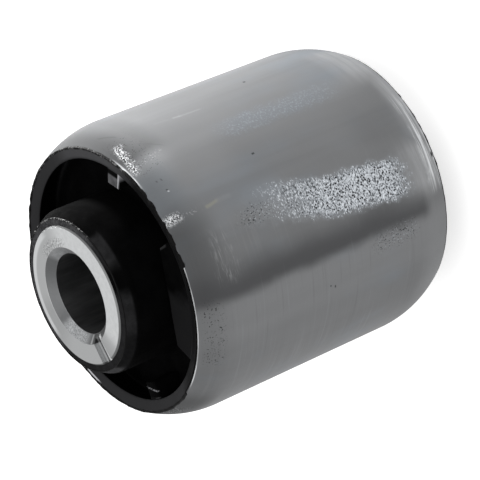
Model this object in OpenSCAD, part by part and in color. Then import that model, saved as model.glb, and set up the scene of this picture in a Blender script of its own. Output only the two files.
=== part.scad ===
/* [Outer sleeve] */
// Outside diameter of the steel sleeve, which is pressed into the cab's bracket
outer_d = 75; // [60:1:100]
// Length of the steel sleeve from edge to edge
outer_l = 79; // [50:1:120]
// Wall of the steel sleeve
outer_wall = 2.5; // [1.5:0.1:4]
// How far each end is turned in towards the bore, measured on the radius
turn_in = 3.45; // [1.5:0.05:5]
// Length of each turned-in shoulder along the bore
shoulder_l = 12.75; // [8:0.25:16]

/* [Inner sleeve] */
// Outside diameter of the inner sleeve
inner_d = 35.5; // [30:0.5:42]
// Length of the inner sleeve from face to face
inner_l = 100; // [86:1:150]
// Bore for the mounting bolt
bore_d = 20.5; // [12:0.5:25]
// Width of the chamfer round the bore, on each face
chamfer_w = 2.2; // [0.5:0.1:2.4]
// Depth of the chamfer round the bore
chamfer_h = 1.8; // [0.5:0.1:3]
// Broken edge round the outside of each face
edge_break = 0.4; // [0.1:0.05:0.8]

/* [Direction notch] */
// Width of the notch where it opens into the bore
notch_w_bore = 3.2; // [1:0.1:5]
// Width of the notch at the outside of the face
notch_w_rim = 4.6; // [1:0.1:7]
// Depth of the notch below the face
notch_h = 1.1; // [0.4:0.1:2.5]

/* [Rubber] */
// Rubber that lines the inside of each turned-in end
lining_t = 0.8; // [0.5:0.1:1.5]
// Thickness of the rubber lip over the sleeve's end, at its inner edge
lip_t = 1; // [0.6:0.1:1.6]
// Thickness of that lip at its outer edge
lip_rim_t = 0.15; // [0.1:0.05:0.4]
// Bare steel edge left round the lip
bare_edge = 0.3; // [0.1:0.05:0.8]
// Rounding of the lip's inner edge, at most the lining's thickness
lip_round = 0.65; // [0.3:0.05:1]
// Depth of the ring-shaped groove below the sleeve's edge
groove_h = 8.5; // [5:0.25:11]
// Fillets along the floor of the groove
groove_fillet = 1.6; // [0.5:0.1:2]
// Rubber round the inner sleeve at the collar's rim
rim_t = 1.85; // [1:0.05:2.5]
// How far the collar's rim stays below the sleeve's face
rim_set = 0.5; // [0.2:0.1:1.5]
// How far the collar widens from its rim to its shoulder
collar_flare = 1.5; // [0.5:0.1:2.5]
// Height of that widening part of the collar
collar_flare_h = 2.9; // [1:0.1:5]

/* [Stops] */
// Direction of the wide stop from the notch, in degrees round the bore
stop_dir = 60; // [0:5:355]
// Angle that the wide stop takes up round the bore
stop_arc = 59; // [20:1:90]
// Free travel between the collar and the wide stop's flat
stop_gap = 1; // [0.5:0.05:2.5]
// How far the stops stay below the lip
stop_set = 0.3; // [0.1:0.1:3]
// Width and depth of each small stop
lug_w = 4.3; // [2:0.1:6]
// Angle from the wide stop to each small stop
lug_dir = 74; // [60:1:120]

/* [Hidden] */
$fn = 180;
eps = 0.05;

// The turned-in end is an arc that leaves the straight wall without a corner
outer_r = outer_d / 2;
shoulder_r = (pow(shoulder_l, 2) + pow(turn_in, 2)) / (2 * turn_in);
shoulder_angle = asin(shoulder_l / shoulder_r);
arc_x = outer_r - shoulder_r;
arc_z = outer_l / 2 - shoulder_l;

// The rubber's arcs share the steel's centre
steel_in_r = shoulder_r - outer_wall;
lining_r = steel_in_r - lining_t;

inner_r = inner_d / 2;
bore_r = bore_d / 2;
face_z = inner_l / 2;

// Heights are measured from the middle of the mount, and both ends are alike
floor_z = outer_l / 2 - groove_h;
rim_r = inner_r + rim_t;
rim_z = face_z - rim_set;
collar_r = rim_r + collar_flare;
collar_z = rim_z - collar_flare_h;

// A point on one of the arcs round that centre, at an angle
function on_arc(r, angle) = [arc_x + r * cos(angle), arc_z + r * sin(angle)];
// Distance from the bore's axis to such an arc at a height, or to the straight wall below it
function side_x(r, z) = arc_x + (z > arc_z ? sqrt(r * r - pow(z - arc_z, 2)) : r);
function side_angle(r, z) = atan2(max(z - arc_z, 0), side_x(r, z) - arc_x);

// The lip's face runs straight from the edge of the steel to the inner edge
lip_outer = on_arc(shoulder_r - bare_edge, shoulder_angle + atan(lip_rim_t / shoulder_r));
lip_inner = on_arc(lining_r, shoulder_angle + atan(lip_t / lining_r));
lip_slope = atan2(lip_outer[1] - lip_inner[1], lip_outer[0] - lip_inner[0]);

// The bead that rounds the inner edge touches the lip's face and the lining
bead = min(lip_round, lining_t - 0.1);
bead_up = (lip_inner[1] - arc_z) * cos(lip_slope) - (lip_inner[0] - arc_x) * sin(lip_slope) - bead;
bead_along = sqrt(pow(lining_r + bead, 2) - bead_up * bead_up);
bead_angle = atan2(bead_up, bead_along) + lip_slope;
bead_mid = on_arc(lining_r + bead, bead_angle);
bead_low = on_arc(lining_r, bead_angle);
bead_top = bead_mid + bead * [-sin(lip_slope), cos(lip_slope)];

// The fillet beside the lining touches the lining and the floor
fillet_z = floor_z + groove_fillet;
fillet_x = side_x(lining_r - groove_fillet, fillet_z);
fillet_angle = side_angle(lining_r - groove_fillet, fillet_z);
lining_mid_r = lining_r + lining_t / 2;

stop_z = lip_inner[1] - stop_set;
stop_face = collar_r + stop_gap;
lug_face = lip_inner[0] - lug_w;
notch_angle = 180;

// Part of a ring round the arc's centre, from angle 0 up to the given angle
module arc_band(r_out, r_in, angle) {
    far = 2 * r_out;
    translate([arc_x, arc_z]) intersection() {
        difference() {
            circle(r_out);
            circle(r_in);
        }
        polygon([[0, 0], [far, 0], [far * cos(angle), far * sin(angle)]]);
    }
}

// Everything inside a wall of the sleeve's form, up to a height in the turned-in end
module inside_wall(arc_r, top) {
    square([arc_x + arc_r, min(top, arc_z)]);
    square([max(arc_x, inner_r), top]);
    if (top > arc_z) {
        intersection() {
            translate([arc_x, arc_z]) circle(arc_r);
            translate([0, arc_z]) square([outer_r, top - arc_z]);
        }
    }
}

// Half of the steel wall, seen in section
module steel_section() {
    translate([outer_r - outer_wall, 0]) square([outer_wall, arc_z]);
    arc_band(shoulder_r, steel_in_r, shoulder_angle);
}

// Rubber on the turned-in wall and the lip over the steel's end
module lip_section() {
    translate([arc_x + lining_r, min(floor_z, arc_z) - eps])
        square([lining_t, max(arc_z - floor_z, 0) + eps]);
    arc_band(steel_in_r, lining_r, min(bead_angle, shoulder_angle));
    polygon([
        on_arc(lining_r, shoulder_angle),
        bead_low,
        bead_mid,
        bead_top,
        lip_outer,
        on_arc(shoulder_r - bare_edge, shoulder_angle)
    ]);
    intersection() {
        translate(bead_mid) circle(bead);
        polygon([bead_mid, bead_low, lip_inner, bead_top]);
    }
}

// Rubber that rounds the groove's floor into the lining and into the collar
module fillet_section() {
    difference() {
        polygon([
            [fillet_x, fillet_z],
            [fillet_x, floor_z - eps],
            on_arc(lining_mid_r, side_angle(lining_mid_r, floor_z - eps)) + [0, min(floor_z - eps - arc_z, 0)],
            on_arc(lining_mid_r, fillet_angle)
        ]);
        translate([fillet_x, fillet_z]) circle(groove_fillet);
    }
    difference() {
        translate([collar_r - eps, floor_z - eps]) square(groove_fillet + eps);
        translate([collar_r + groove_fillet, fillet_z]) circle(groove_fillet);
    }
}

// Half of the rubber, seen in section
module rubber_section() {
    difference() {
        union() {
            inside_wall(steel_in_r, floor_z);
            lip_section();
            fillet_section();
            polygon([
                [0, 0],
                [collar_r, 0],
                [collar_r, collar_z],
                [rim_r, rim_z],
                [0, rim_z]
            ]);
        }
        translate([-eps, -eps]) square([inner_r + eps, face_z]);
    }
}

// Both halves of a piece, one over the other, standing on the lower face
module both_ends() {
    translate([0, 0, face_z]) {
        children();
        mirror([0, 0, 1]) children();
    }
}

// Stops in the groove: a wide one with a flat face, and a small square one on each side of it
module stops() {
    half = stop_arc / 2;
    intersection() {
        rotate_extrude() difference() {
            inside_wall(lining_mid_r, stop_z);
            square([inner_r + rim_t, stop_z + eps]);
        }
        translate([0, 0, floor_z - eps]) linear_extrude(groove_h) union() {
            rotate(notch_angle + stop_dir) polygon([
                [stop_face, -stop_face * tan(half)],
                [outer_r, -outer_r * tan(half)],
                [outer_r, outer_r * tan(half)],
                [stop_face, stop_face * tan(half)]
            ]);
            for (side = [-1, 1]) {
                rotate(notch_angle + stop_dir + side * lug_dir)
                    translate([lug_face, -lug_w / 2]) square([outer_r - lug_face, lug_w]);
            }
        }
    }
}

// Notch across the upper face, widening from the bore to the rim, that shows which way round the mount goes
module notch() {
    translate([0, 0, inner_l - notch_h]) rotate(notch_angle) linear_extrude(notch_h + 1) polygon([
        [0, -notch_w_bore / 2],
        [bore_r, -notch_w_bore / 2],
        [inner_r, -notch_w_rim / 2],
        [inner_r + 1, -notch_w_rim / 2],
        [inner_r + 1, notch_w_rim / 2],
        [inner_r, notch_w_rim / 2],
        [bore_r, notch_w_bore / 2],
        [0, notch_w_bore / 2]
    ]);
}

module outer_sleeve() {
    color("silver") both_ends() rotate_extrude() steel_section();
}

module rubber_body() {
    color("dimgray") both_ends() {
        rotate_extrude() rubber_section();
        stops();
    }
}

module inner_sleeve() {
    color("gainsboro") difference() {
        rotate_extrude() polygon([
            [bore_r + chamfer_w, 0],
            [inner_r - edge_break, 0],
            [inner_r, edge_break],
            [inner_r, inner_l - edge_break],
            [inner_r - edge_break, inner_l],
            [bore_r + chamfer_w, inner_l],
            [bore_r, inner_l - chamfer_h],
            [bore_r, chamfer_h]
        ]);
        notch();
    }
}

outer_sleeve();
rubber_body();
inner_sleeve();
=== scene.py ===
"""Cab mount: a rubber bushing in a pressed steel sleeve, dressed over its CAD frame for a studio picture."""
import math

import bmesh
import bpy
from mathutils import Matrix, Vector


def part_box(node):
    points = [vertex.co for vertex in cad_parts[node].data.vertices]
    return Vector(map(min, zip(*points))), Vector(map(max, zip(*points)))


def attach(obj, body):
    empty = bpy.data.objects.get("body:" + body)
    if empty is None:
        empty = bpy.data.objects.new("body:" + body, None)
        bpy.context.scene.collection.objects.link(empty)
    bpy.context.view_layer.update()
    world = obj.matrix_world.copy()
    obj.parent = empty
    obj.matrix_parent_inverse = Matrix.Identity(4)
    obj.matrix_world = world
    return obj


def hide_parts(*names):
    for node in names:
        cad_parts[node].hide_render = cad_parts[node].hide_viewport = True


bl_info = {
    "name": "Cab mount",
    "version": (1, 0, 0),
    "blender": (4, 5, 0),
    "location": "3D View > Sidebar > Cab mount",
    "description": "Models the sleeves, the moulded rubber and the studio of a cab mount",
    "category": "Add Mesh",
}

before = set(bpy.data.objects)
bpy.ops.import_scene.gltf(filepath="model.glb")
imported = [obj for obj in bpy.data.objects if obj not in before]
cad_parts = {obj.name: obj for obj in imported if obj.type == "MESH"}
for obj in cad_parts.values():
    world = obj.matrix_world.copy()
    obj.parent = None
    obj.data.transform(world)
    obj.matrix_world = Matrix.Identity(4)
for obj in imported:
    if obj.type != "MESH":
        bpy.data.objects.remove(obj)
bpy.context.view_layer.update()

MM = 0.001
MERGE = 1e-6  # vertices closer than this are one
ROUND_STEPS = 360  # steps round the bore for the large pieces
SUNK = 0.3 * MM  # how far the stops reach into the groove's floor
SLEEVE_LOW, SLEEVE_HIGH = (Vector(corner_highlight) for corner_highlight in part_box("outer_sleeve"))
INNER_HIGH = Vector(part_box("inner_sleeve")[1])
MIDDLE = INNER_HIGH.z / 2
PATCH_TURN = 6.5  # degrees from the -Y direction to the side with the pitted patch, where angles round the bore start


def length(label, text, default):
    return bpy.props.FloatProperty(name=label, description=text, default=default, min=0.0, unit="LENGTH", precision=5)


def angle(label, text, degrees):
    return bpy.props.FloatProperty(name=label, description=text, default=math.radians(degrees), subtype="ANGLE")


def colour(label, text, default):
    return bpy.props.FloatVectorProperty(
        name=label, description=text, default=default, size=3, min=0.0, max=1.0, subtype="COLOR"
    )


class SleeveSizes(bpy.types.PropertyGroup):
    radius: length("Radius", "Outside radius of the steel sleeve", SLEEVE_HIGH.x)
    height: length("Length", "Length of the steel sleeve", SLEEVE_HIGH.z - SLEEVE_LOW.z)
    wall: length("Wall", "Thickness of the steel", 2.5 * MM)
    turn_in: length("Turn-in", "How far each end is turned in", 3.45 * MM)
    shoulder: length("Shoulder", "Length of each turned-in end", 12.75 * MM)
    rounding: length("Edge rounding", "Rounding of the steel's cut edge", 0.35 * MM)


class InnerSizes(bpy.types.PropertyGroup):
    radius: length("Radius", "Outside radius of the inner sleeve", INNER_HIGH.x)
    height: length("Length", "Length of the inner sleeve", INNER_HIGH.z)
    bore: length("Bore", "Radius of the bore", 10.25 * MM)
    chamfer_width: length("Chamfer width", "Width of the chamfer round the bore", 2.2 * MM)
    chamfer_depth: length("Chamfer depth", "Depth of the chamfer round the bore", 1.8 * MM)
    edge_break: length("Edge break", "Broken edge round the face", 0.4 * MM)
    notch_bore: length("Notch at the bore", "Width of the notch where it opens into the bore", 3.2 * MM)
    notch_rim: length("Notch at the rim", "Width of the notch at the outside of the face", 4.6 * MM)
    notch_depth: length("Notch depth", "Depth of the notch below the face", 1.1 * MM)


class RubberSizes(bpy.types.PropertyGroup):
    lining: length("Lining", "Rubber inside the turned-in end", 0.8 * MM)
    lip: length("Lip", "Thickness of the lip at its inner edge", 1.0 * MM)
    lip_rim: length("Lip edge", "Thickness of the lip at its outer edge", 0.15 * MM)
    bare_edge: length("Bare edge", "Steel left bare round the lip", 0.3 * MM)
    groove: length("Groove", "Depth of the groove below the sleeve's edge", 8.5 * MM)
    fillet: length("Fillet", "Fillets along the groove's floor", 1.6 * MM)
    rim: length("Collar rim", "Rubber round the inner sleeve at the collar's rim", 1.85 * MM)
    rim_set: length("Rim set", "How far the rim stays below the face", 0.5 * MM)
    flare: length("Collar flare", "How far the collar widens below its rim", 1.5 * MM)
    flare_height: length("Flare height", "Height of the widening part", 2.9 * MM)
    stop_direction: angle("Wide stop", "Direction of the wide stop round the bore", 240)
    stop_arc: angle("Stop arc", "Angle that the wide stop takes up", 59)
    stop_gap: length("Free travel", "Gap between the collar and the wide stop", 1.0 * MM)
    stop_set: length("Stop set", "How far the stops stay below the lip", 0.3 * MM)
    lug_width: length("Small stop", "Width of each small stop", 4.3 * MM)
    lug_turn: angle("Small stop turn", "Angle from the wide stop to each small stop", 74)
    lip_round: length("Lip rounding", "Rounding of the lip's inner edge", 0.6 * MM)
    rim_round: length("Rim rounding", "Rounding of the collar's rim", 0.25 * MM)
    flare_round: length("Flare rounding", "Rounding where the collar stops widening", 0.5 * MM)
    stop_round: length("Wide stop rounding", "Rounding of the wide stop's upper edges", 0.5 * MM)
    lug_round: length("Small stop rounding", "Rounding of the small stops' free edges", 0.35 * MM)


class Colours(bpy.types.PropertyGroup):
    steel: colour("Steel", "Bare steel of the outer sleeve", (0.19, 0.193, 0.197))
    pitted: colour("Pitted steel", "Bright flecks of the pitted patch", (0.55, 0.575, 0.605))
    # The dark band along the sleeve is a painted reflection
    dark_reflection: colour("Stain", "Dark stain along the sleeve", (0.084, 0.085, 0.088))
    face: colour("Turned face", "Face of the inner sleeve", (0.6, 0.61, 0.615))
    chamfer: colour("Chamfer", "Chamfer round the bore", (0.24, 0.245, 0.25))
    bore: colour("Bore", "Wall of the bore", (0.15, 0.152, 0.155))
    rubber: colour("Rubber", "Moulded rubber", (0.0022, 0.0022, 0.0023))
    # Torn rubber is the grey of the painted glints on the flash
    torn: colour("Torn rubber", "Rough flash along the moulding's edges", (0.4, 0.4, 0.4))
    floor: colour("Floor", "Studio floor", (0.8, 0.8, 0.8))


# Modelling


def to_edit(piece):
    bpy.ops.object.select_all(action="DESELECT")
    piece.select_set(True)
    bpy.context.view_layer.objects.active = piece
    bpy.ops.object.mode_set(mode="EDIT")


def to_object():
    bpy.ops.object.mode_set(mode="OBJECT")


def pick(piece, wanted, kind="verts"):
    """Select the vertices or edges of the edited piece that the test wants."""
    bpy.ops.mesh.select_mode(type={"verts": "VERT", "edges": "EDGE"}[kind])
    bpy.ops.mesh.select_all(action="DESELECT")
    mesh = bmesh.from_edit_mesh(piece.data)
    for part in getattr(mesh, kind):
        if wanted(part):
            part.select_set(True)
    mesh.select_flush_mode()
    bmesh.update_edit_mesh(piece.data)


def is_sharp(edge):
    return edge.calc_face_angle(0) > 0.7


def apply(piece, modifier):
    bpy.context.view_layer.objects.active = piece
    bpy.ops.object.modifier_apply(modifier=modifier.name)


def draw(name, outline):
    """Draw an outline in the XZ plane, one extruded vertex after another, and stay in edit mode."""
    bpy.ops.object.select_all(action="DESELECT")
    bpy.ops.mesh.primitive_plane_add(size=MM)
    piece = bpy.context.object
    piece.name = piece.data.name = name
    to_edit(piece)
    bpy.ops.mesh.select_mode(type="VERT")
    bpy.ops.mesh.select_all(action="SELECT")
    bpy.ops.mesh.merge(type="CENTER")
    points = [Vector((x, 0, z)) for x, z in outline]
    bpy.ops.transform.translate(value=points[0])
    for here, there in zip(points, points[1:]):
        bpy.ops.mesh.extrude_region_move(TRANSFORM_OT_translate={"value": there - here})
    return piece


def soften(piece, corners, size, segments):
    """Round some corners of a drawn outline."""
    spots = [Vector((x, 0, z)) for x, z in corners]
    pick(piece, lambda v: any((v.co - spot).length < MERGE for spot in spots))
    bpy.ops.mesh.bevel(offset=size, segments=segments, affect="VERTICES")


def double(piece):
    """Mirror the upper half that was drawn on to the lower half, and leave edit mode."""
    to_object()
    mirror = piece.modifiers.new("lower half", "MIRROR")
    mirror.use_axis = (False, False, True)
    mirror.merge_threshold = MERGE
    apply(piece, mirror)


def settle():
    """Turn all faces of the edited piece outwards, lift it to its height and leave edit mode."""
    bpy.ops.mesh.select_all(action="SELECT")
    bpy.ops.mesh.normals_make_consistent(inside=False)
    bpy.ops.transform.translate(value=(0, 0, MIDDLE))
    to_object()


def revolve(piece, steps):
    """Turn the outline round the bore's axis into a closed solid, and lift it to its height."""
    to_edit(piece)
    bpy.ops.mesh.select_all(action="SELECT")
    bpy.ops.mesh.spin(steps=steps, angle=math.tau, center=(0, 0, 0), axis=(0, 0, 1))
    bpy.ops.mesh.select_all(action="SELECT")
    bpy.ops.mesh.remove_doubles(threshold=MERGE)
    settle()


def fill():
    """Close the drawn outline with a face."""
    bpy.ops.mesh.select_all(action="SELECT")
    bpy.ops.mesh.edge_face_add()


def swing(by):
    """Turn what is selected anticlockwise round the bore; with no window the operator turns the other way."""
    bpy.ops.transform.rotate(value=-by, orient_axis="Z", center_override=(0, 0, 0))


def seen_angle(spot):
    """Angle of a spot round the bore in degrees, the same one as in the finishes."""
    return math.degrees(math.atan2(-spot.x, -spot.y)) - PATCH_TURN


def smooth(piece, degrees=32):
    bpy.ops.object.select_all(action="DESELECT")
    piece.select_set(True)
    bpy.context.view_layer.objects.active = piece
    bpy.ops.object.shade_smooth_by_angle(angle=math.radians(degrees))


def dress(piece, finish, node=None):
    """Give a piece its finish, let it ride on the mount and hide the CAD part that it stands for."""
    piece.data.materials.clear()
    piece.data.materials.append(finish)
    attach(piece, "root")
    if node:
        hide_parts(node)


class End:
    """Section of the mount's end, measured from the middle of the bore's axis: the steel and the rubber share arcs."""

    def __init__(self, scene):
        sleeve, inner, rubber = scene.mount_sleeve, scene.mount_inner, scene.mount_rubber

        # Radius and angle of the steel's outer arc, the centre of all arcs, and the radii of the two inner ones
        self.radius = (sleeve.shoulder**2 + sleeve.turn_in**2) / (2 * sleeve.turn_in)
        self.angle = math.asin(sleeve.shoulder / self.radius)
        self.x = sleeve.radius - self.radius
        self.z = sleeve.height / 2 - sleeve.shoulder
        self.steel_in = self.radius - sleeve.wall
        self.lining = self.steel_in - rubber.lining

        # The groove's floor, and the collar at its rim and where it stops widening
        self.floor = sleeve.height / 2 - rubber.groove
        self.rim = inner.radius + rubber.rim
        self.rim_z = inner.height / 2 - rubber.rim_set
        self.collar = self.rim + rubber.flare
        self.collar_z = self.rim_z - rubber.flare_height

        # The edges of the lip, and the top of the stops
        self.lip_outer = self.at(self.radius - rubber.bare_edge, self.angle + math.atan(rubber.lip_rim / self.radius))
        self.lip_inner = self.at(self.lining, self.angle + math.atan(rubber.lip / self.lining))
        self.stop_z = self.lip_inner[1] - rubber.stop_set

    def at(self, radius, turn):
        return self.x + radius * math.cos(turn), self.z + radius * math.sin(turn)

    def arc(self, radius, start, stop, steps):
        return [self.at(radius, start + (stop - start) * i / steps) for i in range(steps + 1)]

    def turn_at(self, radius, z):
        return math.asin(max(z - self.z, 0) / radius)


# Finishes


def toned(shade, factor, blue=1.0):
    """A colour made lighter or darker, and bluer where blue is over 1."""
    red, green, last = shade
    return tuple(min(part * factor, 1.0) for part in (red, green * (1 + blue) / 2, last * blue))


class Nodes:
    """The means to wire a node tree in plain words; an input takes a number, a colour or another node's output."""

    def __init__(self, tree):
        self.tree = tree

    def set(self, node, socket, value):
        if isinstance(value, bpy.types.NodeSocket):
            self.tree.links.new(value, node.inputs[socket])
        elif node.inputs[socket].type == "RGBA":
            node.inputs[socket].default_value = (*value, 1)
        else:
            node.inputs[socket].default_value = value

    def add(self, kind, settings=None, **sockets):
        node = self.tree.nodes.new(kind)
        for key, value in (settings or {}).items():
            setattr(node, key, value)
        for socket, value in sockets.items():
            self.set(node, socket.replace("_", " "), value)
        return node

    def maths(self, operation, *values):
        node = self.tree.nodes.new("ShaderNodeMath")
        node.operation = operation
        for index, value in enumerate(values):
            self.set(node, index, value)
        return node.outputs[0]

    def chain(self, operation, values):
        result, *rest = values
        for value in rest:
            result = self.maths(operation, result, value)
        return result

    def product(self, *values):
        return self.chain("MULTIPLY", values)

    def largest(self, *values):
        return self.chain("MAXIMUM", values)

    def least(self, first, second):
        return self.maths("MINIMUM", first, second)

    def plus(self, first, second):
        return self.maths("ADD", first, second)

    def minus(self, first, second):
        return self.maths("SUBTRACT", first, second)

    def absolute(self, value):
        return self.maths("ABSOLUTE", value)

    def step(self, value, low, high, bottom=0.0, top=1.0):
        """From bottom to top between low and high, without corners; low may be the larger one."""
        node = self.add("ShaderNodeMapRange", {"interpolation_type": "SMOOTHSTEP"})
        self.set(node, "Value", value)
        self.set(node, "From Min", low)
        self.set(node, "From Max", high)
        self.set(node, "To Min", bottom)
        self.set(node, "To Max", top)
        return node.outputs["Result"]

    def band(self, value, low, high, soft):
        """1 between low and high, with soft ends."""
        half = (high - low) / 2
        aside = self.absolute(self.minus(value, low + half))
        return self.step(aside, half + soft, half - soft)

    def blend(self, factor, first, second):
        """The first colour where the factor is 0 and the second where it is 1."""
        node = self.add("ShaderNodeMix", {"data_type": "RGBA", "clamp_factor": True})
        self.set(node, 0, factor)
        self.set(node, 6, first)
        self.set(node, 7, second)
        return node.outputs[2]


class Finish(Nodes):
    """A material, with the mount's own measures: x, y, z, the angle round the bore, the height and the radius."""

    def __init__(self, name, roughness, metallic=0.0, specular=0.5):
        self.material = bpy.data.materials.new(name)
        self.material.use_nodes = True
        super().__init__(self.material.node_tree)
        self.shader = self.tree.nodes["Principled BSDF"]
        self.set(self.shader, "Roughness", roughness)
        self.set(self.shader, "Metallic", metallic)
        self.set(self.shader, "Specular IOR Level", specular)
        self.place = self.tree.nodes.new("ShaderNodeTexCoord").outputs["Object"]
        split = self.add("ShaderNodeSeparateXYZ", Vector=self.place)
        self.x, self.y, self.z = split.outputs

    def stretched(self, x, y, z):
        node = self.add("ShaderNodeMapping", Vector=self.place)
        node.inputs["Scale"].default_value = (x, y, z)
        return node.outputs["Vector"]

    def noise(self, scale, detail=2.0, roughness=0.5, vector=None, distortion=0.0):
        node = self.add(
            "ShaderNodeTexNoise", Vector=vector or self.place, Scale=scale, Detail=detail, Roughness=roughness,
            Distortion=distortion,
        )
        return node.outputs["Fac"]

    def cells(self, scale):
        node = self.add("ShaderNodeTexVoronoi", Vector=self.place, Scale=scale)
        return node.outputs["Distance"], node.outputs["Color"]

    def bump(self, height, depth):
        return self.add("ShaderNodeBump", Height=height, Distance=depth).outputs["Normal"]

    def round_angle(self):
        """Angle round the bore in degrees: 0 at the side with the pitted patch, and 83.5 at the notch."""
        turn = self.maths("ARCTAN2", self.product(self.x, -1.0), self.product(self.y, -1.0))
        return self.minus(self.product(turn, math.degrees(1)), PATCH_TURN)

    def height(self):
        """Height above the lower face in millimetres."""
        return self.product(self.z, 1 / MM)

    def depth(self):
        """Depth below the nearer face in millimetres."""
        height = self.height()
        return self.least(height, self.minus(INNER_HIGH.z / MM, height))

    def radius(self):
        """Distance from the bore's axis in millimetres."""
        square = self.plus(self.product(self.x, self.x), self.product(self.y, self.y))
        return self.product(self.maths("SQRT", square), 1 / MM)

    def finish(self, base, roughness=None, normal=None):
        self.set(self.shader, "Base Color", base)
        if roughness is not None:
            self.set(self.shader, "Roughness", roughness)
        if normal is not None:
            self.set(self.shader, "Normal", normal)
        return self.material


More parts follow.
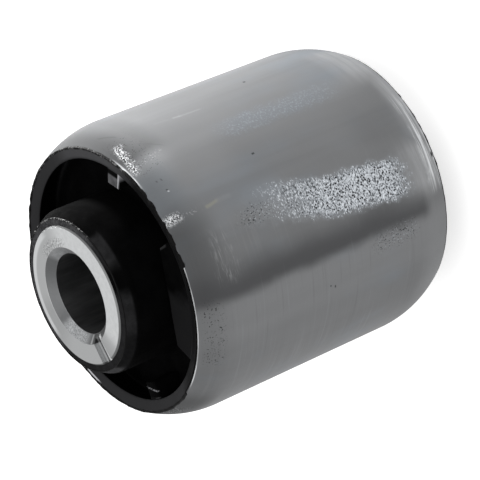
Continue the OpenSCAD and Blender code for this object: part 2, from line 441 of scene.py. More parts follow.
def pressed_steel(colours):
    """Satin steel with soft clouds, a pitted patch under a painted highlight, a painted dark reflection band, painted
    highlights and shade in streaks and on the shoulders, bruises and a painted edge glint near one edge and painted
    highlight streaks at the other.
    """
    m = Finish("pressed steel", 0.55, metallic=1.0)
    around = m.round_angle()
    height = m.height()
    drift = m.minus(m.noise(90, 3), 0.5)
    ragged = m.minus(m.noise(500, 3), 0.5)
    fine = m.noise(2100, 3, 0.65)
    specks = m.noise(2300, 2, 0.6)

    def tone(factor, blue=1.0):
        return toned(colours.steel, factor, blue)

    def field(turn, rise, softness, reach=6.0):
        """A patch between two angles and two heights, with ragged edges."""
        spread = m.plus(around, m.product(ragged, reach))
        lift = m.plus(height, m.product(ragged, reach))
        return m.product(m.band(spread, *turn, softness[0]), m.band(lift, *rise, softness[1]))

    # Mill finish: soft clouds, streaks along the sleeve and fine rings round it
    cloudy = m.noise(26, 4, 0.6, m.stretched(1, 1, 0.35))
    cold = m.noise(45, 3, 0.6, m.stretched(1, 1, 0.5))
    streaks = m.noise(150, 4, 0.6, m.stretched(1, 1, 0.05))
    rings = m.noise(40, 3, 0.55, m.stretched(1, 1, 30))
    base = m.blend(m.step(cloudy, 0.3, 0.7), tone(0.9), tone(1.12))
    base = m.blend(m.step(cold, 0.5, 0.72, 0.0, 0.6), base, tone(1.06, 1.2))
    base = m.blend(m.step(streaks, 0.4, 0.7, 0.0, 0.5), base, tone(0.88))
    rings = m.product(m.step(rings, 0.52, 0.75), m.step(around, -16, 4, 0.3, 1.0))
    base = m.blend(m.product(rings, 0.3), base, tone(1.2))

    # The turned-in ends: painted shade over the near shoulder, deepest by the dark reflection band, on one side and
    # where the side lamp's highlight falls, with a bluer patch, and painted highlights on the far shoulder
    shoulder = m.largest(m.step(height, 79, 88), m.step(height, 18, 11, 0.0, 0.5))
    painted_shade = m.product(m.band(around, -12, 22, 7), m.step(height, 76, 84), 0.85)
    dimmed_highlight = m.product(m.step(around, -145, -88), m.step(around, -35, -45), m.step(height, 75.5, 81.5))
    low = m.product(m.band(around, 70, 120, 8), m.step(height, 79, 85))
    # Painted shade on the near shoulder
    base = m.blend(m.product(m.step(height, 79, 88), m.band(around, -125, 30, 12), 0.35), base, tone(0.5))
    base = m.blend(m.product(m.largest(painted_shade, low), 0.5), base, tone(0.3))
    base = m.blend(m.product(dimmed_highlight, 0.66), base, tone(0.3))
    chilled = m.product(m.band(around, -36, -12, 9), m.step(height, 78, 85), 0.35)
    base = m.blend(chilled, base, tone(0.97, 1.2))
    # Painted highlight on the far shoulder, streaked along the sleeve
    made_paler = m.product(m.step(height, 26, 17), m.largest(m.band(around, -62, -36, 5), m.band(around, -4, 15, 5)))
    made_paler = m.largest(made_paler, m.product(m.step(height, 19, 13), m.band(around, -52, -4, 5)))
    fibres = m.step(m.noise(55, 4, 0.65, m.stretched(1, 1, 9)), 0.3, 0.7, 0.5, 1.0)
    base = m.blend(m.product(made_paler, fibres), base, tone(1.9))
    base = m.blend(m.product(m.step(height, 18, 12), m.band(around, 20, 115, 10), 0.7), base, tone(1.25))

    # Painted highlights and painted shade in streaks along the sleeve, where the studio would show in the steel: angles
    # and softness, heights and softness, strength, tone
    painted_bands = (
        ((-41, -34, 3), (8, 95, 3), 0.35, 1.3),
        ((-36, -18, 7), (66, 80, 5), 0.45, 1.3),
        ((-31, -25, 3), (30, 70, 8), 0.2, 1.3),
        ((-23, -7, 5), (17, 32, 6), 0.35, 0.6),
        ((25, 41, 4), (8, 90, 3), 0.45, 1.22),
        ((24, 60, 5), (8, 20, 4), 0.4, 1.3),
        ((-90, -62, 4), (8, 14.5, 1.5), 0.4, 0.5),
        ((-90, -74, 4), (14, 24, 3), 0.4, 0.5),
        ((36, 60, 5), (12, 20, 3), 0.25, 1.3),
        ((0, 12, 4), (15, 22, 3), 0.25, 1.4),
        ((-100, -64, 8), (54, 80, 8), 0.3, 0.75),
        ((72, 88, 5), (83, 92, 3), 0.6, 0.5),
    )
    for turn, rise, strength, factor in painted_bands:
        base = m.blend(m.product(m.band(around, *turn), m.band(height, *rise), strength), base, tone(factor))

    # The painted dark reflection band fades at its upper edge and stops sharply at its lower one
    edge = m.plus(around, m.product(drift, 5.0))
    upper_edge = m.minus(edge, m.step(height, 36, 20, 0.0, 3.5))
    dark_reflection = m.product(m.step(upper_edge, 6.5, 19.5), m.step(edge, 20.5, 26, 1.0, 0.0), m.step(height, 16.5, 20.5))
    base = m.blend(dark_reflection, base, colours.dark_reflection)

    # The pitted patch: bright flecks and dark pits on steel paled by a painted highlight, dense low on the sleeve and
    # sparse above
    middle = m.minus(10.3, m.product(height, 0.17))
    middle = m.minus(middle, m.step(height, 46, 62, 0.0, 3.0))
    aside = m.absolute(m.plus(m.minus(around, middle), m.product(ragged, 5.0)))
    reach = m.plus(height, m.product(ragged, 10.0))
    patch = m.product(m.step(aside, 9.6, 4.6), m.step(reach, 20.5, 29), m.step(reach, 73, 40))
    present = m.step(patch, 0.03, 0.25)
    crumbs = m.noise(1800, 2, 0.6, m.stretched(1, 1, 1.7))
    web = m.step(m.plus(crumbs, m.product(patch, 0.2)), 0.6, 0.76)
    spot, which = m.cells(1450)
    chosen = m.step(m.add("ShaderNodeSeparateColor", Color=which).outputs[0], 0.5, 0.6)
    pits = m.product(m.step(m.plus(spot, m.product(patch, -0.18)), 0.14, 0.26, 1.0, 0.0), chosen)
    gaps = m.step(m.minus(crumbs, m.product(patch, 0.06)), 0.4, 0.33)
    pits = m.product(m.largest(pits, m.product(gaps, 0.85)), m.step(patch, 0.2, 0.6, 0.12, 1.0))
    # Painted highlight: the patch's ground is paler where a lamp's reflection would lie on the pitted steel
    base = m.blend(patch, base, tone(1.75, 1.12))
    flecked = m.blend(m.step(fine, 0.4, 0.6), toned(colours.pitted, 0.85), toned(colours.pitted, 1.25))
    base = m.blend(m.product(present, web), base, flecked)
    outliers = m.largest(field((23, 30), (24, 36), (2.5, 3)), field((-5, 1), (64, 72), (2, 3)))
    sparse = m.product(outliers, m.step(specks, 0.58, 0.64))
    base = m.blend(m.product(outliers, m.step(fine, 0.56, 0.66), 0.5), base, tone(2.2, 1.1))
    dark_pits = m.largest(m.product(present, pits), sparse)
    base = m.blend(dark_pits, base, tone(0.18))

    # Bright flecks where the bare steel is bruised near the edge, with thin tails along the sleeve
    spread = m.plus(around, m.product(ragged, 4.0))
    slanted = m.minus(m.plus(height, m.product(ragged, 2.0)), m.product(around, 0.08))
    upper = m.product(m.band(spread, -52.5, -36, 2), m.band(slanted, 89.7, 91.6, 0.6))
    grains = m.noise(2500, 2, 0.6, m.stretched(1, 1, 1.3), 0.6)
    lower = field((-13.8, -10.2), (85.8, 89.8), (1.2, 1.0), 2.5)
    flecks = m.largest(m.product(upper, m.step(grains, 0.49, 0.58)), m.product(lower, m.step(grains, 0.46, 0.55)))
    tails = m.largest(
        field((-12.3, -10.5), (81.5, 86), (0.8, 1.5), 2.0),
        field((-40, -37.5), (80, 86), (0.8, 1.5), 2.5),
    )
    faint = field((-41, -33), (29, 62), (2.5, 6), 6.0)
    bruise_and_glint = (0.7, 0.71, 0.72)
    base = m.blend(flecks, base, bruise_and_glint)
    base = m.blend(m.product(tails, m.step(fine, 0.56, 0.62), 0.45), base, tone(2.6))
    base = m.blend(m.product(faint, 0.5), base, tone(1.03, 1.18))
    base = m.blend(m.product(faint, m.step(fine, 0.5, 0.64), 0.45), base, tone(1.8, 1.1))
    beside = m.largest(field((-56, -34), (82, 88), (4, 2), 5.0), field((22, 50), (83.5, 88), (3, 1.0), 2.0))
    nicks = m.product(m.largest(upper, beside), m.step(specks, 0.4, 0.32))
    crevices = m.product(m.largest(upper, lower), m.step(specks, 0.45, 0.37))
    base = m.blend(m.largest(nicks, crevices), base, tone(0.18))
    # Painted highlight along the steel's cut edge, in the bruises' colour
    edge_highlight = m.product(m.band(around, -47, -31, 4), m.step(height, 88.75, 89.1), m.step(streaks, 0.3, 0.6, 0.5, 1.0))
    base = m.blend(edge_highlight, base, bruise_and_glint)

    # Painted highlight streaks round the far shoulder, faint scuffs and a painted glint on the cut edge at the near
    # one, and marks of the lathe's comb
    highlight_streaks = m.noise(70, 4, 0.65, m.stretched(1, 1, 16), 0.4)
    far_highlight = field((-23, 14), (10, 15.5), (5, 1.4), 3.0)
    base = m.blend(m.product(far_highlight, m.step(highlight_streaks, 0.44, 0.62)), base, tone(3.4))
    near = field((-1, 16), (77.8, 82.5), (4, 1.5), 5.0)
    wisps = m.noise(120, 4, 0.7, m.stretched(1, 1, 9), 1.2)
    base = m.blend(m.product(near, m.step(wisps, 0.46, 0.62), 0.5), base, tone(1.5))
    # Painted glint on the steel's bare cut edge
    edge_glint = m.product(m.band(around, 2, 62, 4), m.step(height, 89.25, 89.4), m.step(streaks, 0.35, 0.55, 0.5, 1.0))
    base = m.blend(edge_glint, base, (0.75, 0.76, 0.77))
    flaked = field((82, 106), (85.5, 90.5), (4, 1.0), 4.0)
    base = m.blend(m.product(flaked, m.step(fine, 0.44, 0.5), 0.8), base, tone(0.2))
    base = m.blend(m.product(flaked, m.step(fine, 0.56, 0.62), 0.7), base, tone(2.4))
    combed = m.noise(30, 3, 0.6, m.stretched(1, 1, 40))
    belly = field((24, 66), (22, 84), (8, 6))
    base = m.blend(m.product(belly, m.step(combed, 0.6, 0.7), 0.2), base, tone(1.5, 1.05))
    base = m.blend(m.product(belly, m.step(combed, 0.4, 0.32), 0.25), base, tone(0.65))

    # Single marks, each a line between two spots: scratches, a yellowish one and a few dark dents.
    # Angle and height of its upper end, the same of its lower end, half its width in degrees, strength, colour
    marks = (
        ((-53.0, 69.6), (-52.6, 66.5), 0.5, 0.4, tone(2.0)),
        ((-52.9, 68.0), (-52.3, 60.5), 0.4, 0.28, tone(2.0)),
        ((-54.0, 75), (-53.2, 69.6), 0.6, 0.1, tone(1.8)),
        ((-10.8, 79.6), (-11.9, 75.0), 0.6, 0.36, (0.34, 0.33, 0.25)),
        ((-11.7, 76.5), (-11.9, 71.0), 0.9, 0.12, tone(1.8)),
        ((-48.5, 83.2), (-39.9, 77.5), 0.35, 0.4, tone(0.4)),
        ((-64.6, 86.3), (-57.8, 84.0), 0.9, 0.5, tone(0.35)),
        ((-23.4, 85.2), (-23.2, 84.8), 0.35, 0.8, tone(0.25)),
        ((-22.7, 85.1), (-22.5, 84.7), 0.3, 0.7, tone(3.0)),
        ((-28.4, 85.9), (-28.2, 85.6), 0.4, 0.6, tone(0.3)),
        ((-28.2, 84.8), (-27.8, 84.5), 0.5, 0.6, tone(0.3)),
        ((-23.0, 60.4), (-23.1, 59.6), 0.35, 0.9, tone(0.2)),
        ((-59.4, 44.3), (-59.5, 43.6), 0.5, 0.9, tone(0.2)),
        ((36.0, 50.4), (36.1, 50.0), 0.5, 0.9, tone(0.2)),
        ((35.0, 51.8), (35.1, 51.4), 0.3, 0.9, tone(0.2)),
        ((3.2, 11.7), (2.8, 10.9), 1.0, 1.0, tone(0.12)),
    )
    for (turn, rise), (turn_to, rise_to), half, strength, shade in marks:
        slope = (turn_to - turn) / (rise_to - rise)
        aside = m.minus(m.minus(around, m.product(height, slope)), turn - slope * rise)
        aside = m.plus(aside, m.product(ragged, min(rise - rise_to, 3) * 0.3))
        line = m.product(m.band(aside, -half, half, half * 0.7), m.band(height, rise_to, rise, 0.15), strength)
        if rise - rise_to > 3:
            line = m.product(line, m.step(streaks, 0.35, 0.6, 0.5, 1.0))
            line = m.product(line, m.step(height, rise_to, rise_to + 1.5), m.step(height, rise, rise - 0.6))
        base = m.blend(line, base, shade)

    roughness = m.plus(m.product(shoulder, 0.22), m.step(cloudy, 0.3, 0.7, 0.52, 0.58))
    relief = m.minus(m.product(patch, web, 0.6), dark_pits)
    bumps = m.bump(m.plus(relief, m.product(rings, 0.2)), 0.04 * MM)
    return m.finish(base, roughness, bumps)


def moulded_rubber(colours):
    """Black moulded rubber, greyed by dust and by painted light on the lip, the stops, the collar's rim and patches of
    its cone, with painted glints.
    """
    m = Finish("moulded rubber", 0.4, specular=0.012)
    around = m.round_angle()
    depth = m.depth()
    radius = m.radius()
    mottle = m.noise(160, 4, 0.6)
    uneven = m.noise(420, 4, 0.65)
    gritty = m.noise(1500, 3, 0.7)
    turn = m.plus(around, m.product(m.minus(mottle, 0.5), 14.0))

    def shade(factor):
        return toned(colours.rubber, factor)

    base = m.blend(m.step(mottle, 0.3, 0.7), shade(0.6), shade(1.4))
    # A grey for dust with painted light, and a paler one for painted glints and highlights
    dust_and_light_grey = m.blend(m.step(uneven, 0.3, 0.7), shade(7), shade(12))
    glint_grey = m.blend(m.step(uneven, 0.35, 0.65), shade(18), shade(34))

    # The lip over the steel: grey with dust and painted light, black on its shaded side, with a painted highlight at
    # the top, a painted glint near its outer edge and painted lines of light on its bead
    lip = m.product(m.step(depth, 11.56, 11.44), m.step(radius, 30.4, 30.7))
    dusted_and_lit = m.largest(m.step(turn, -30, -44), m.step(turn, 58, 70))
    base = m.blend(m.product(lip, m.largest(dusted_and_lit, 0.2)), base, shade(17))
    base = m.blend(m.product(lip, m.band(turn, -88, -42, 10), m.step(radius, 30.9, 31.8)), base, shade(36))
    lip_glint = m.product(m.band(around, 139, 148, 2), m.band(radius, 33.05, 33.5, 0.12))
    base = m.blend(m.product(lip, lip_glint), base, shade(330))
    bead = m.product(m.band(radius, 30.55, 30.8, 0.1), m.step(depth, 12.2, 11.9))
    along = m.largest(m.band(turn, 40, 118, 5), m.band(turn, -58, -20, 6))
    base = m.blend(m.product(bead, m.step(m.noise(140, 3, 0.6), 0.42, 0.54), along), base, glint_grey)

    # The stops: painted light on the lower half of the wide one's top and a painted highlight on its corner, a painted
    # lit face and glint on the upper small one, and a painted glint on the lower one
    top = m.product(m.band(depth, 11.58, 11.9, 0.1), m.step(radius, 22.5, 23))
    base = m.blend(m.product(top, m.band(turn, 22, 60, 6)), base, shade(8))
    corner_highlight = m.product(m.band(around, -5.9, -4.6, 0.3), m.step(radius, 23.2, 23.6), m.step(radius, 29, 28), top)
    base = m.blend(corner_highlight, base, shade(18))
    small = m.product(m.band(around, -55, -46, 0.3), m.band(radius, 26.4, 29.2, 0.3), m.band(depth, 11.5, 11.95, 0.05))
    base = m.blend(m.product(small, m.step(uneven, 0.3, 0.6, 0.6, 1.0)), base, shade(75))
    stop_glint = m.product(m.band(around, -46.9, -46.3, 0.2), m.step(radius, 26, 26.3), m.band(depth, 11.5, 13.5, 0.3))
    base = m.blend(stop_glint, base, shade(300))
    slope = m.plus(radius, m.product(around, 0.166))
    lower_stop_glint = m.product(m.band(around, 90, 104, 1), m.band(slope, 44.35, 44.7, 0.2), m.band(depth, 11.5, 12.2, 0.1))
    base = m.blend(m.product(lower_stop_glint, m.step(gritty, 0.42, 0.52)), base, shade(150))

    # The collar: a gritty rim, grey with dust, with painted shade on one side and painted glints on its lit side, a
    # cone with two patches of painted light and a painted highlight, and a painted line of light along the groove's
    # fillet
    cone = m.product(m.step(radius, 21.05, 20.6), m.step(depth, 3.3, 2.6))
    lit_patches = m.largest(m.band(turn, -32, -8, 6), m.product(m.band(turn, 12, 112, 7), m.step(turn, 36, 44, 1.0, 0.4)))
    base = m.blend(m.product(cone, lit_patches), base, dust_and_light_grey)
    cone_highlight = m.product(cone, m.band(turn, 80, 104, 5))
    base = m.blend(cone_highlight, base, glint_grey)
    rim = m.product(m.step(radius, 19.7, 19.5), m.step(depth, 0.75, 0.6))
    base = m.blend(m.product(rim, m.largest(m.step(turn, -8, -30), m.step(turn, 20, 40))), base, dust_and_light_grey)
    rim_lit_side = m.largest(m.step(turn, -20, -45), m.step(turn, 140, 155))
    base = m.blend(m.product(rim, rim_lit_side), base, glint_grey)
    base = m.blend(m.product(rim, rim_lit_side, m.step(gritty, 0.5, 0.62)), base, shade(45))
    fillet = m.product(m.band(depth, 17.8, 18.8, 0.3), m.step(radius, 28, 29), m.band(turn, -128, -88, 10))
    base = m.blend(m.product(fillet, 0.6), base, dust_and_light_grey)

    grain = m.bump(m.noise(2200, 3, 0.6), 0.02 * MM)
    inside = m.step(radius, 30.6, 30.2, 0.0, 0.35)
    roughness = m.plus(m.step(m.noise(300, 3), 0.3, 0.7, 0.36, 0.48), inside)
    return m.finish(base, roughness, grain)


def torn_rubber(colours):
    """Rough flash along the moulding's edges: black with small painted glints, denser on one side and round the
    collar's rim.
    """
    m = Finish("torn rubber edge", 0.6, specular=0.08)
    around = m.round_angle()
    crumbs = m.noise(1300, 3, 0.7)
    rim = m.step(m.radius(), 22, 21)
    left = m.largest(m.step(around, -30, -50), m.step(around, 130, 150))
    bright = m.product(m.largest(rim, 0.35), m.band(around, -118, -40, 10))
    glints = m.largest(m.product(m.step(crumbs, 0.66, 0.73), left), m.product(m.step(crumbs, 0.52, 0.62), bright))
    base = m.blend(glints, colours.rubber, colours.torn)
    return m.finish(base)


def turned_steel(colours):
    """Faced and bored steel: a pale grainy face, a greyer chamfer and a dark bore."""
    m = Finish("turned steel", 0.45, metallic=1.0)
    around = m.round_angle()
    height = m.height()
    radius = m.radius()
    top = m.step(height, 90, 91)
    grain = m.noise(900, 4, 0.65)
    rough = m.noise(1300, 3, 0.6)

    # The face: painted light on the side of the pitted patch and painted shade near the notch and on the far side, with
    # a corroded part and a rubbed edge
    face = m.blend(m.step(grain, 0.3, 0.7), toned(colours.face, 0.88), toned(colours.face, 0.98))
    face = m.blend(m.band(around, -84, 66, 14), toned(colours.face, 0.64), face)
    painted_shade = m.largest(m.step(around, 130, 160), m.step(around, -160, -186), m.band(around, 58, 84, 8))
    face = m.blend(m.product(painted_shade, 0.45), face, toned(colours.face, 0.4))
    corroded = m.product(m.band(around, -118, -70, 6), m.band(radius, 12.3, 14.8, 0.6), top)
    eaten = m.noise(1900, 4, 0.75)
    face = m.blend(m.product(corroded, m.step(eaten, 0.5, 0.58), 0.9), face, toned(colours.face, 0.32))
    face = m.blend(m.product(corroded, m.step(eaten, 0.44, 0.36), 0.8), face, toned(colours.face, 1.25))
    left = m.largest(m.step(around, -92, -106), m.step(around, 150, 165))
    rubbed = m.product(left, m.step(radius, 15.6, 16.4), top)
    face = m.blend(m.product(rubbed, 0.55), face, toned(colours.face, 1.2))
    # Painted shade on the broken edge round the face
    face = m.blend(m.step(radius, 17.3, 17.42), face, toned(colours.face, 0.25))

    # The chamfer: shaded in three places, and torn bright between two of them
    chamfer = m.blend(m.step(grain, 0.35, 0.65), toned(colours.chamfer, 0.9), toned(colours.chamfer, 1.1))
    shaded = m.largest(m.step(around, 150, 162), m.step(around, -104, -118), m.band(around, 52, 106, 6))
    chamfer = m.blend(m.product(shaded, 0.9), chamfer, toned(colours.chamfer, 0.42))
    torn = m.product(m.band(around, 112, 152, 6), top)
    made_paler = m.noise(2600, 3, 0.7)
    chamfer = m.blend(m.product(torn, m.step(made_paler, 0.42, 0.62)), chamfer, toned(colours.chamfer, 1.8))
    on_chamfer = m.product(m.step(radius, 12.5, 12.35), m.step(m.depth(), 0.02, 0.08))
    base = m.blend(on_chamfer, face, chamfer)

    # The bore: drawn along its length, with painted light on one side
    wall = m.noise(200, 3, 0.6, m.stretched(1, 1, 0.15))
    bore = m.blend(m.step(wall, 0.35, 0.7), toned(colours.bore, 0.7), toned(colours.bore, 1.6))
    bore = m.blend(m.product(m.band(around, 30, 110, 25), m.step(wall, 0.3, 0.6), 0.6), bore, toned(colours.bore, 2.6))
    base = m.blend(m.step(radius, 10.36, 10.27), base, bore)

    # Painted shade and highlights for ridges along the notch's flat floor, and painted shade for a step where it meets
    # the chamfer, with a painted greyer facet beside it
    across = m.product(m.y, 1 / MM)
    inside = m.product(m.step(m.x, -10.1 * MM, -10.3 * MM), m.band(across, -2.4, 2.4, 0.05))
    floor = m.product(inside, m.band(height, 98.6, 99.7, 0.1))
    ridge_shade = m.largest(m.band(across, -1.5, -1.1, 0.15), m.band(across, 0.35, 0.75, 0.15))
    base = m.blend(m.product(floor, ridge_shade), base, toned(colours.face, 0.08))
    base = m.blend(m.product(floor, m.band(across, -0.8, 0.1, 0.2), 0.7), base, toned(colours.face, 1.3))
    base = m.blend(m.product(floor, m.band(across, 1.1, 1.7, 0.2), 0.6), base, toned(colours.face, 1.2))
    step_shade = m.product(m.band(around, 89, 97, 0.6), m.band(radius, 10.4, 12.3, 0.1), top)
    base = m.blend(m.product(step_shade, 0.85), base, toned(colours.face, 0.1))
    lit_step = m.product(m.band(around, 98.5, 102, 0.6), m.band(radius, 10.4, 12.3, 0.1), top)
    base = m.blend(m.product(lit_step, 0.7), base, toned(colours.face, 0.7))

    # The outside of the sleeve
    base = m.blend(m.step(radius, 17.6, 17.7), base, toned(colours.face, 0.2))
    return m.finish(base, normal=m.bump(m.plus(grain, m.product(rough, 0.5)), 0.03 * MM))


def studio_floor(colours):
    """Pale floor that reads as white to the camera and in reflections, and keeps the mount's shadow."""
    m = Finish("studio floor", 0.9, specular=0.0)
    m.set(m.shader, "Base Color", colours.floor)
    path = m.add("ShaderNodeLightPath").outputs
    mirrored = m.product(m.largest(path["Is Glossy Ray"], path["Is Transmission Ray"]), 0.4)
    m.set(m.shader, "Emission Color", (1, 1, 1))
    m.set(m.shader, "Emission Strength", m.largest(m.product(path["Is Camera Ray"], 0.7), mirrored))
    return m.material


# Operators


class MOUNT_OT_stage(bpy.types.Operator):
    """Set up the floor, the soft lamps and the camera"""

    bl_idname = "mount.stage"
    bl_label = "Stage"

    def execute(self, context):
        scene = context.scene
        scene.view_settings.view_transform = "Standard"

        bpy.ops.object.select_all(action="DESELECT")
        bpy.ops.mesh.primitive_grid_add(x_subdivisions=8, y_subdivisions=8, size=8)
        floor = context.object
        floor.name = "studio_floor"
        floor.data.materials.append(studio_floor(scene.mount_colours))

        # The sky is white to the camera and in reflections, and lights the mount at a lower level
        scene.world = bpy.data.worlds.new("studio")
        scene.world.use_nodes = True
        sky = Nodes(scene.world.node_tree)
        background = sky.tree.nodes["Background"]
        path = sky.add("ShaderNodeLightPath").outputs
        seen = sky.largest(path["Is Camera Ray"], path["Is Glossy Ray"], path["Is Transmission Ray"])
        level = sky.add("ShaderNodeMapRange", Value=seen, To_Min=0.45, To_Max=1.0)
        sky.set(background, "Color", (1, 1, 1))
        sky.set(background, "Strength", level.outputs["Result"])

        # Name, direction from the mount, distance, size and power of each soft lamp
        for name, direction, distance, size, power in (
            ("side panel", (1.0, 0.3, 0.02), 0.6, (0.8, 0.1), 7.3),
            ("overhead panel", (-0.2, -0.5, 1.0), 0.9, (0.9, 0.9), 3.0),
        ):
            towards = Vector(direction).normalized()
            bpy.ops.object.light_add(type="AREA", location=Vector((0, 0, MIDDLE)) + towards * distance)
            lamp = context.object
            lamp.name = lamp.data.name = name
            lamp.rotation_euler = towards.to_track_quat("Z", "Y").to_euler()
            lamp.data.shape = "RECTANGLE"
            lamp.data.size, lamp.data.size_y = size
            lamp.data.energy = power
            lamp.visible_camera = False

        # The camera's lens, axes and place come from a fit to the picture
        bpy.ops.object.camera_add()
        camera = context.object
        camera.name = "picture"
        camera.data.sensor_width = 36
        camera.data.lens = 186.6
        right = (-0.4427, -0.4492, -0.7762)
        up = (0.8917, -0.3125, -0.3277)
        back = (-0.0954, -0.8370, 0.5388)
        turned = Matrix((right, up, back)).transposed().to_4x4()
        camera.matrix_world = Matrix.Translation((-0.0622, -0.5198, 0.3855)) @ turned
        scene.camera = camera
        return {"FINISHED"}


class MOUNT_OT_outer_sleeve(bpy.types.Operator):
    """Draw the steel wall in section, round its cut edges and turn it"""

    bl_idname = "mount.outer_sleeve"
    bl_label = "Outer sleeve"

    def execute(self, context):
        scene = context.scene
        sleeve = scene.mount_sleeve
        end = End(scene)
        outline = [(sleeve.radius - sleeve.wall, 0)]
        outline += end.arc(end.steel_in, 0, end.angle, 12)
        outline += end.arc(end.radius, end.angle, 0, 20)
        outline.append((sleeve.radius, 0))
        piece = draw("pressed_sleeve", outline)
        soften(piece, [end.at(end.steel_in, end.angle), end.at(end.radius, end.angle)], sleeve.rounding, 4)
        double(piece)
        revolve(piece, ROUND_STEPS)
        smooth(piece)
        dress(piece, pressed_steel(scene.mount_colours), "outer_sleeve")
        return {"FINISHED"}


class MOUNT_OT_rubber(bpy.types.Operator):
    """Draw the moulded rubber in section, round its corners and turn it"""

    bl_idname = "mount.rubber"
    bl_label = "Moulded rubber"

    def execute(self, context):
        scene = context.scene
        rubber, sleeve, inner = scene.mount_rubber, scene.mount_sleeve, scene.mount_inner
        end = End(scene)
        floor_turn = end.turn_at(end.lining, end.floor)
        floor_in, floor_out = (end.collar, end.floor), end.at(end.lining, floor_turn)
        rim, shoulder = (end.rim, end.rim_z), (end.collar, end.collar_z)
        outline = [(inner.radius, 0), (inner.radius, end.rim_z), rim, shoulder, floor_in, floor_out]
        outline += end.arc(end.lining, floor_turn, end.angle, 8)[1:]
        outline += [end.lip_inner, end.lip_outer]
        outline += end.arc(end.steel_in, end.angle, 0, 10)
        outline.append((sleeve.radius - sleeve.wall, 0))
        piece = draw("moulded_rubber", outline)
        soften(piece, [floor_in, floor_out], rubber.fillet, 6)
        soften(piece, [end.lip_inner], rubber.lip_round, 5)
        soften(piece, [rim], rubber.rim_round, 3)
        soften(piece, [shoulder], rubber.flare_round, 4)
        double(piece)
        revolve(piece, ROUND_STEPS)
        smooth(piece)
        dress(piece, moulded_rubber(scene.mount_colours), "rubber_body")
        return {"FINISHED"}


class MOUNT_OT_stops(bpy.types.Operator):
    """Draw the stops in section, widen them, round their edges and set them in both grooves"""

    bl_idname = "mount.stops"
    bl_label = "Stops"

    def execute(self, context):
        scene = context.scene
        rubber = scene.mount_rubber
        material = scene.objects["moulded_rubber"].active_material
        end = End(scene)
        root = end.lining + rubber.lining / 2
        foot, top = end.floor - SUNK, end.stop_z
        wall = end.arc(root, end.turn_at(root, top), end.turn_at(root, foot), 8)

        # The wide stop: a part of a ring, cut flat towards the bore
        wide = draw("wide_stops", [(end.collar, foot), (end.collar, top), *wall])
        fill()
        bpy.ops.mesh.select_all(action="SELECT")
        bpy.ops.mesh.spin(steps=48, angle=rubber.stop_arc, center=(0, 0, 0), axis=(0, 0, 1))
        bpy.ops.mesh.select_all(action="SELECT")
        bpy.ops.mesh.remove_doubles(threshold=MERGE)
        bpy.ops.mesh.normals_make_consistent(inside=False)
        centre = sum((v.co for v in bmesh.from_edit_mesh(wide.data).verts), Vector()).xy
        swing(-math.atan2(centre.y, centre.x))
        flat = end.collar + rubber.stop_gap
        bpy.ops.mesh.bisect(plane_co=(flat, 0, 0), plane_no=(1, 0, 0), use_fill=True, clear_inner=True)
        pick(wide, lambda e: is_sharp(e) and all(v.co.z > top - MERGE for v in e.verts)
             and e.verts[0].co.xy.length < wall[0][0] - 0.1 * MM, "edges")
        bpy.ops.mesh.bevel(offset=rubber.stop_round, segments=4)
        bpy.ops.mesh.select_all(action="SELECT")
        swing(rubber.stop_direction)
        self.set_in(wide, material)

        # The small stops: a square one, and its copy on the other side of the wide stop
        front = end.lip_inner[0] - rubber.lug_width
        small = draw("small_stops", [(front, foot), (front, top), *wall])
        fill()
        bpy.ops.mesh.select_all(action="SELECT")
        bpy.ops.mesh.extrude_region_move(TRANSFORM_OT_translate={"value": (0, rubber.lug_width, 0)})
        bpy.ops.mesh.select_all(action="SELECT")
        bpy.ops.mesh.normals_make_consistent(inside=False)
        bpy.ops.transform.translate(value=(0, -rubber.lug_width / 2, 0))
        pick(small, lambda e: is_sharp(e) and any(v.co.z > top - MERGE for v in e.verts)
             and (e.verts[0].co.x + e.verts[1].co.x) / 2 < end.lip_inner[0] - 0.2 * MM, "edges")
        bpy.ops.mesh.bevel(offset=rubber.lug_round, segments=3)
        bpy.ops.mesh.select_all(action="SELECT")
        swing(rubber.stop_direction - rubber.lug_turn)
        bpy.ops.mesh.duplicate()
        swing(2 * rubber.lug_turn)
        self.set_in(small, material)
        return {"FINISHED"}

    def set_in(self, piece, material):
        """Copy the stops to the lower groove, lift both to their places and give them the body's rubber."""
        double(piece)
        to_edit(piece)
        settle()
        smooth(piece)
        dress(piece, material)


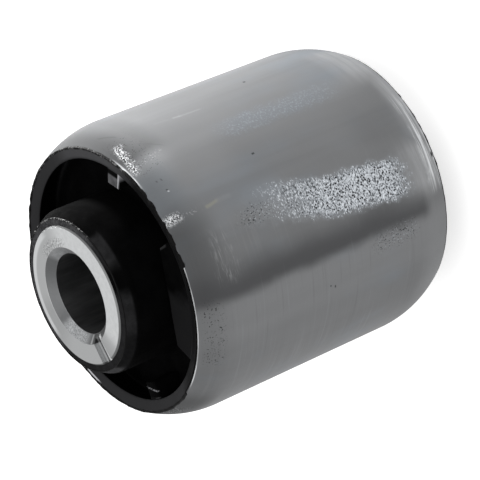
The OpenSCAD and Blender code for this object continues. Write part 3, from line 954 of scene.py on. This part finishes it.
class MOUNT_OT_flash(bpy.types.Operator):
    """Add the torn flash that the mould leaves along the steel's edge and round the collar's rim"""

    bl_idname = "mount.flash"
    bl_label = "Moulding flash"

    def execute(self, context):
        scene = context.scene
        end = End(scene)
        edge, rim = end.lip_outer, (end.rim, end.rim_z)
        material = torn_rubber(scene.mount_colours)
        torn = bpy.data.textures.new("torn edge", "CLOUDS")
        torn.noise_scale = 2.0 * MM
        torn.noise_depth = 5

        # Sections of the skin in millimetres from the edge that it hangs on, then each ring with how deep it is torn
        at_lip = [(-0.3, -0.3), (-0.15, 0.12), (0.3, 0.15), (0.5, -0.25), (0.2, -0.5)]
        at_rim = [(-0.4, -0.1), (-0.3, 0.12), (0, 0.08), (0.05, -0.2)]
        rings = (
            ("upper_lip_flash", edge, at_lip, 1, 1.1 * MM),
            ("lower_lip_flash", edge, at_lip, -1, 0.4 * MM),
            ("upper_rim_flash", rim, at_rim, 1, 0.35 * MM),
            ("lower_rim_flash", rim, at_rim, -1, 0.35 * MM),
        )
        for name, (x, z), section, side, depth in rings:
            outline = [(x + across * MM, side * (z + up * MM)) for across, up in section]
            piece = draw(name, outline)
            tips = [Vector((across, 0, up)) for across, up in (outline[0], outline[-1])]
            pick(piece, lambda v: any((v.co - tip).length < 0.1 * MERGE for tip in tips))
            bpy.ops.mesh.edge_face_add()
            to_object()
            revolve(piece, 2 * ROUND_STEPS)

            # On one side the skin is trimmed back and leaves the steel's edge bare
            if name == "upper_lip_flash":
                to_edit(piece)
                pick(piece, lambda v: v.co.xy.length > x and 6 < seen_angle(v.co) < 68)
                bpy.ops.transform.resize(value=(0.982, 0.982, 1), center_override=(0, 0, 0))
                to_object()

            # It is torn most just before that side
            ragged = piece.vertex_groups.new(name="ragged")
            for v in piece.data.vertices:
                ragged.add([v.index], 1.0 if -30 < seen_angle(v.co) < 10 else 0.35, "REPLACE")
            rough = piece.modifiers.new("torn", "DISPLACE")
            rough.vertex_group = ragged.name
            rough.texture = torn
            rough.texture_coords = "LOCAL"
            rough.strength = depth
            rough.mid_level = 0.5
            apply(piece, rough)
            smooth(piece, 60)
            dress(piece, material)
        return {"FINISHED"}


class MOUNT_OT_inner_sleeve(bpy.types.Operator):
    """Draw the inner sleeve in section, turn it and cut its notch"""

    bl_idname = "mount.inner_sleeve"
    bl_label = "Inner sleeve"

    def execute(self, context):
        scene = context.scene
        inner = scene.mount_inner
        top = inner.height / 2
        outline = [
            (inner.bore, 0),
            (inner.bore, top - inner.chamfer_depth),
            (inner.bore + inner.chamfer_width, top),
            (inner.radius - inner.edge_break, top),
            (inner.radius, top - inner.edge_break),
            (inner.radius, 0),
        ]
        piece = draw("bored_sleeve", outline)
        double(piece)
        revolve(piece, 256)

        # The notch is cut with a block that widens from the bore to the rim
        bpy.ops.object.select_all(action="DESELECT")
        bpy.ops.mesh.primitive_cube_add(size=1, location=(0, 0, 0))
        cutter = context.object
        to_edit(cutter)
        bpy.ops.mesh.select_all(action="SELECT")
        reach = inner.radius + 2 * MM
        bpy.ops.transform.resize(value=(reach, inner.notch_bore, 2 * inner.notch_depth))
        bpy.ops.transform.translate(value=(-reach / 2, 0, inner.height))
        pick(cutter, lambda v: v.co.x < -inner.radius)
        bpy.ops.transform.resize(value=(1, inner.notch_rim / inner.notch_bore, 1), center_override=(0, 0, 0))
        to_object()
        cut = piece.modifiers.new("notch", "BOOLEAN")
        cut.object = cutter
        apply(piece, cut)
        bpy.data.objects.remove(cutter)
        smooth(piece)
        dress(piece, turned_steel(scene.mount_colours), "inner_sleeve")
        return {"FINISHED"}


class MOUNT_PT_sidebar(bpy.types.Panel):
    """Sizes, colours and steps of the cab mount"""

    bl_idname = "MOUNT_PT_sidebar"
    bl_label = "Cab mount"
    bl_space_type = "VIEW_3D"
    bl_region_type = "UI"
    bl_category = "Cab mount"

    def draw(self, context):
        scene = context.scene
        for title in GROUPS:
            group = getattr(scene, title)
            box = self.layout.box()
            for key in group.bl_rna.properties.keys():
                if key not in ("rna_type", "name"):
                    box.prop(group, key)
        for operator in STEPS:
            self.layout.operator(operator.bl_idname)


GROUPS = {
    "mount_sleeve": SleeveSizes,
    "mount_inner": InnerSizes,
    "mount_rubber": RubberSizes,
    "mount_colours": Colours,
}
STEPS = (
    MOUNT_OT_stage,
    MOUNT_OT_outer_sleeve,
    MOUNT_OT_rubber,
    MOUNT_OT_stops,
    MOUNT_OT_flash,
    MOUNT_OT_inner_sleeve,
)


def register():
    for cls in (*GROUPS.values(), *STEPS, MOUNT_PT_sidebar):
        bpy.utils.register_class(cls)
    for title, group in GROUPS.items():
        setattr(bpy.types.Scene, title, bpy.props.PointerProperty(type=group))


def unregister():
    for title in GROUPS:
        delattr(bpy.types.Scene, title)
    for cls in (MOUNT_PT_sidebar, *reversed(STEPS), *reversed(GROUPS.values())):
        bpy.utils.unregister_class(cls)


def main():
    register()
    bpy.ops.mount.stage()
    bpy.ops.mount.outer_sleeve()
    bpy.ops.mount.rubber()
    bpy.ops.mount.stops()
    bpy.ops.mount.flash()
    bpy.ops.mount.inner_sleeve()


if __name__ == "__main__":
    main()
